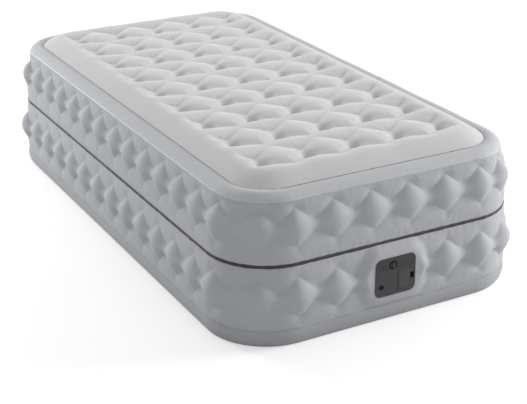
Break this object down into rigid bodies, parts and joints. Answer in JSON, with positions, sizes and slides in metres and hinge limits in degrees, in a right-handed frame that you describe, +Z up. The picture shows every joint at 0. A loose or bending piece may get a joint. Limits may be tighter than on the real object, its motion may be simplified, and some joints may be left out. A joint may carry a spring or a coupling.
{
  "type": "air mattress",
  "caption": "Double-height inflatable bed with a quilted top, zigzag-welded side walls, a waist groove and a pump panel in its foot end.",
  "frame": {"origin": "middle of the bounding box in plan, on the floor", "axes": "+X across the bed, +Y from the pump end to the head end, +Z up"},
  "size_m": [0.9906, 1.8006, 0.457],
  "materials": {
    "flocked_top": "soft flocked surface on PVC, matt, pale grey",
    "rim_vinyl": "smooth PVC with a faint sheen",
    "wall_vinyl": "flocked PVC side wall, matt grey",
    "weld_vinyl": "pressed weld line",
    "inner_vinyl": "plain PVC sheet",
    "panel_plastic": "moulded dark grey plastic, fine texture",
    "dark_plastic": "black moulded plastic",
    "strip_plastic": "smooth dark insert",
    "label": "printed label film, left blank",
    "light_plastic": "moulded light grey plastic",
    "steel": "bright steel",
    "copper": "windings on a steel core",
    "cord_rubber": "black cord jacket",
    "seal_rubber": "soft black rubber"
  },
  "bodies": {
    "base": {"upper_side_wall": "wall_vinyl", "upper_side_webs": "inner_vinyl", "upper_beams": "inner_vinyl", "mid_sheet": "inner_vinyl", "waist_seam": "weld_vinyl", "lower_side_wall": "wall_vinyl", "lower_side_webs": "inner_vinyl", "lower_beams": "inner_vinyl", "base_seam": "weld_vinyl", "base_band": "wall_vinyl", "bottom_sheet": "inner_vinyl", "pump_collar": "rim_vinyl", "pump_housing": "panel_plastic", "faceplate": "panel_plastic", "control_strip": "strip_plastic", "icon_marks": "label", "hinge_pin": "steel", "power_cord": "cord_rubber", "plug_body": "dark_plastic", "plug_blades": "steel", "intake_grille": "dark_plastic", "motor_can": "steel", "motor_end_cap": "dark_plastic", "motor_screws": "steel", "blower_scroll": "panel_plastic", "scroll_cover": "dark_plastic", "valve_spring": "steel", "valve_spider": "dark_plastic", "switch_body": "dark_plastic"},
    "deck": {"top_sheet": "flocked_top", "top_seam": "weld_vinyl", "top_rim": "rim_vinyl", "rim_seam": "rim_vinyl"},
    "selector": {"selector_knob": "panel_plastic", "valve_rotor": "light_plastic"},
    "door": {"cord_door": "panel_plastic", "door_label": "label"},
    "rotor": {"armature": "copper", "motor_shaft": "steel", "impeller": "light_plastic"},
    "valve": {"valve_poppet": "light_plastic", "poppet_seal": "seal_rubber"}
  },
  "joints": [
    {"name": "deck_sink", "type": "slide", "parent": "base", "child": "deck", "axis": [0, 0, 1], "range_m": [-0.13, 0], "stiffness_N_per_m": 9000, "deforming": ["upper_side_wall", "upper_side_webs", "upper_beams"]},
    {"name": "selector_turn", "type": "hinge", "parent": "base", "child": "selector", "pos_m": [-0.009, -0.895, 0.17], "axis": [0, -1, 0], "range_deg": [-35, 35]},
    {"name": "door_swing", "type": "hinge", "parent": "base", "child": "door", "pos_m": [0.0101, -0.8922, 0.119], "axis": [0, 0, -1], "range_deg": [0, 95]},
    {"name": "rotor_spin", "type": "hinge", "parent": "base", "child": "rotor", "pos_m": [-0.031, -0.835, 0.116], "axis": [0, 1, 0], "continuous": true},
    {"name": "valve_open", "type": "slide", "parent": "base", "child": "valve", "axis": [0, 1, 0], "range_m": [0, 0.005], "stiffness_N_per_m": 150, "springref_m": -0.001, "deforming": ["valve_spring"]}
  ]
}
